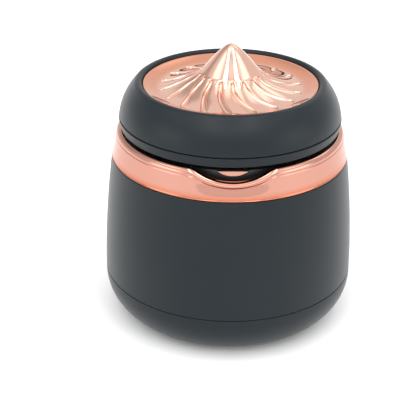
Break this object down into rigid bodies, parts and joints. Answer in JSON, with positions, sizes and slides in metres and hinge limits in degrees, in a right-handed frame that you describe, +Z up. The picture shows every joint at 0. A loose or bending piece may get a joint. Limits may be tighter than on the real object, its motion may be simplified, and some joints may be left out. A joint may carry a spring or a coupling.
{
  "type": "flip-lid pot",
  "caption": "Round tabletop or cup-holder pot with a spring-hinged lid, press-button latch, lift-out metal liner cup and a swirl-fluted peak set into the lid.",
  "frame": {"origin": "centre of the foot on the surface it stands on", "axes": "+Z up through the peak of the lid, -Y to the front where the press button is, +Y to the hinge, +X to the right seen from the front"},
  "size_m": [0.074, 0.074, 0.083],
  "materials": {
    "slate_paint": "satin soft-touch slate grey",
    "rose_plate": "mirror-bright rose gold plating",
    "black_plastic": "semi-gloss black moulded plastic",
    "cup_steel": "brushed sheet steel",
    "spring_steel": "bright drawn wire",
    "screw_steel": "zinc-plated screws",
    "pad_silicone": "dark anti-slip silicone",
    "gasket_silicone": "grey silicone seal"
  },
  "bodies": {
    "pot": {"foot_pad": "pad_silicone", "base_cover": "slate_paint", "base_screws": "screw_steel", "body_shell": "slate_paint", "trim_ring": "rose_plate", "neck_collar": "black_plastic", "collar_screws": "screw_steel", "liner_cup": "cup_steel", "latch_spring": "spring_steel", "hinge_block": "black_plastic", "hinge_block_screws": "screw_steel", "hinge_pin": "spring_steel", "hinge_spring": "spring_steel"},
    "latch": {"latch_button": "rose_plate", "latch_slide": "black_plastic"},
    "lid": {"lid_shell": "slate_paint", "lid_base": "slate_paint", "lid_dish": "rose_plate", "lid_plate": "cup_steel", "lid_gasket": "gasket_silicone", "lid_catch": "black_plastic", "lid_arm": "black_plastic", "arm_screws": "screw_steel", "lid_screws": "screw_steel"}
  },
  "joints": [
    {"name": "lid_hinge", "type": "hinge", "parent": "pot", "child": "lid", "pos_m": [0, 0.0345, 0.0604], "axis": [-1, 0, 0], "range_deg": [0, 90], "deforming": ["hinge_spring"]},
    {"name": "button_press", "type": "slide", "parent": "pot", "child": "latch", "axis": [0, 1, 0], "range_m": [0, 0.0008], "stiffness_N_per_m": 400, "deforming": ["latch_spring"]}
  ]
}
